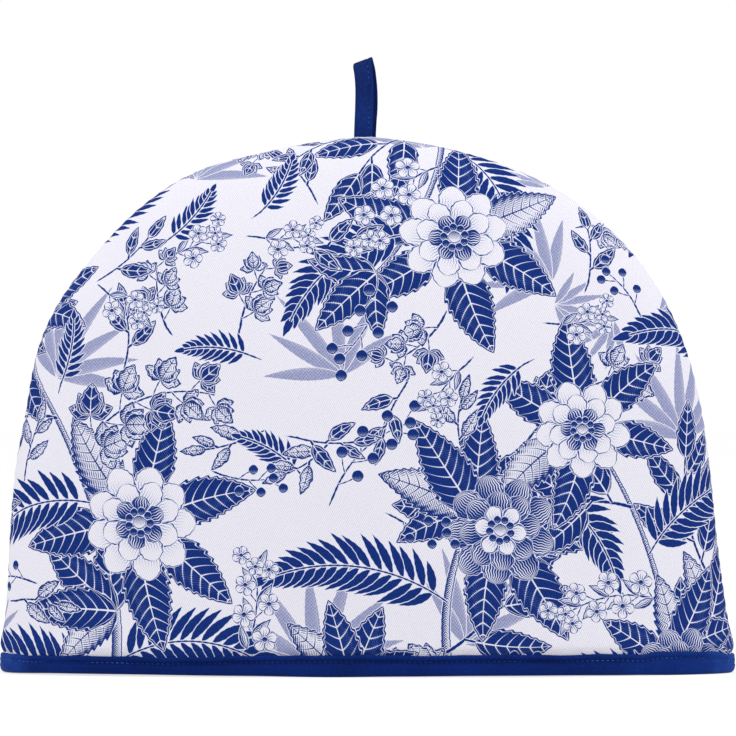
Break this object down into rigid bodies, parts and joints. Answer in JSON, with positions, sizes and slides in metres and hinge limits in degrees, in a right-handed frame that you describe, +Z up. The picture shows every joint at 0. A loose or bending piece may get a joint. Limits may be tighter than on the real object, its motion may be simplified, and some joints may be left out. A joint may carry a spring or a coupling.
{
  "type": "tea cosy",
  "caption": "Padded arch-shaped tea cosy of two crowned printed cotton panels, open below, with a bound hem and a fabric hanging loop at the top.",
  "frame": {"origin": "middle of the base, on the surface that the hem stands on", "axes": "+Z up; the front panel faces -Y; +X to the right, seen from the front"},
  "size_m": [0.355, 0.108, 0.2972],
  "materials": {
    "printed_cotton": "fine cotton twill, white with a dark blue and grey-lilac leaf and flower print",
    "printed_cotton_back": "the same printed cotton twill, another stretch of the cloth",
    "hem_tape": "dark blue cotton tape, matt, stitched near its upper edge",
    "loop_tape": "dark blue cotton tape, matt, folded"
  },
  "bodies": {
    "root": {"front_panel": "printed_cotton", "back_panel": "printed_cotton_back", "hem_binding": "hem_tape", "hanging_loop": "loop_tape"}
  },
  "joints": []
}
